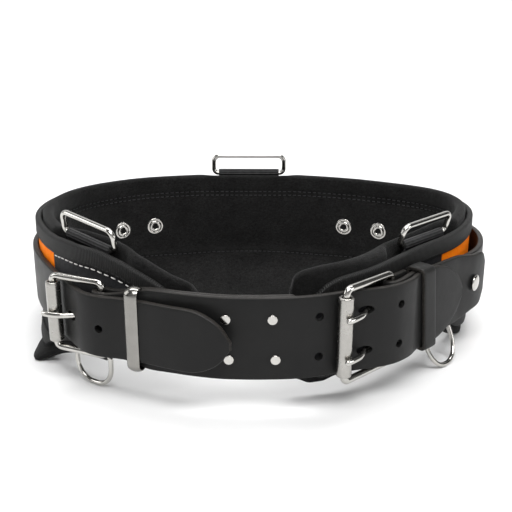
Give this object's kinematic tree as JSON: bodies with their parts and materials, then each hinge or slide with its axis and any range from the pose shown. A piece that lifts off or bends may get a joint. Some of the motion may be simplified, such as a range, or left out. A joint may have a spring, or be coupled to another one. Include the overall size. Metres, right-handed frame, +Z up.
{
  "type": "back support belt",
  "caption": "Waist belt with a quilted felt pad, a buckled leather strap around it, and metal rings for clips along its top and bottom edges.",
  "frame": {"origin": "middle of the belt's bounding box, on the ground that its lower edge stands on", "axes": "+X to the wearer's left across the belt, -Y towards the buckled front, +Z up"},
  "size_m": [0.317, 0.2588, 0.1043],
  "materials": {
    "felt_liner": "matt black quilted felt",
    "orange_cloth": "bright orange woven nylon",
    "black_cloth": "black woven nylon with white stitches",
    "binding_tape": "dark grey binding tape",
    "ribbed_webbing": "black ribbed webbing",
    "strap_leather": "smooth black leather with a soft sheen",
    "polished_steel": "polished steel"
  },
  "bodies": {
    "belt": {"back_rivet_1": "polished_steel", "back_rivet_2": "polished_steel", "back_rivet_3": "polished_steel", "back_rivet_4": "polished_steel", "back_strap": "strap_leather", "bottom_binding": "binding_tape", "chape_rivet": "polished_steel", "d_webbing_left": "ribbed_webbing", "d_webbing_right": "ribbed_webbing", "end_panel_left": "black_cloth", "front_rivet_1": "polished_steel", "front_rivet_2": "polished_steel", "front_rivet_3": "polished_steel", "front_rivet_4": "polished_steel", "front_strap": "strap_leather", "leather_keeper": "strap_leather", "left_buckle_frame": "polished_steel", "left_prong": "polished_steel", "liner": "felt_liner", "metal_keeper": "polished_steel", "orange_panel": "orange_cloth", "right_buckle_frame": "polished_steel", "right_chape": "strap_leather", "right_prong_lower": "polished_steel", "right_prong_upper": "polished_steel", "ring_webbing_back": "ribbed_webbing", "ring_webbing_left": "ribbed_webbing", "ring_webbing_right": "ribbed_webbing", "top_binding": "binding_tape"},
    "left_roller": {"left_roller": "polished_steel"},
    "right_roller": {"right_roller": "polished_steel"},
    "ring_left": {"ring_left": "polished_steel"},
    "ring_right": {"ring_right": "polished_steel"},
    "ring_back": {"ring_back": "polished_steel"},
    "d_ring_left": {"d_ring_left": "polished_steel"},
    "d_ring_right": {"d_ring_right": "polished_steel"}
  },
  "joints": [
    {"name": "left_roller_turn", "type": "hinge", "parent": "belt", "child": "left_roller", "pos_m": [-0.12394, -0.07661, 0.048], "axis": [0, 0, 1], "continuous": true},
    {"name": "right_roller_turn", "type": "hinge", "parent": "belt", "child": "right_roller", "pos_m": [0.04798, -0.11539, 0.048], "axis": [0, 0, 1], "continuous": true},
    {"name": "ring_left_swing", "type": "hinge", "parent": "belt", "child": "ring_left", "pos_m": [-0.10279, -0.06302, 0.0872], "axis": [0.7488, -0.657, -0.0872], "range_deg": [-30, 44]},
    {"name": "ring_right_swing", "type": "hinge", "parent": "belt", "child": "ring_right", "pos_m": [0.10286, -0.0418, 0.0824], "axis": [0.7145, 0.6997, 0], "range_deg": [-34, 42]},
    {"name": "ring_back_swing", "type": "hinge", "parent": "belt", "child": "ring_back", "pos_m": [-0.00787, 0.11635, 0.0884], "axis": [-1, 0.0098, 0], "range_deg": [-70, 100]},
    {"name": "d_ring_left_swing", "type": "hinge", "parent": "belt", "child": "d_ring_left", "pos_m": [-0.10153, -0.08026, 0.0222], "axis": [0.8353, -0.5498, 0], "range_deg": [-60, 38]},
    {"name": "d_ring_right_swing", "type": "hinge", "parent": "belt", "child": "d_ring_right", "pos_m": [0.11428, -0.04767, 0.023], "axis": [0.7072, 0.707, 0], "range_deg": [-48, 44]}
  ]
}
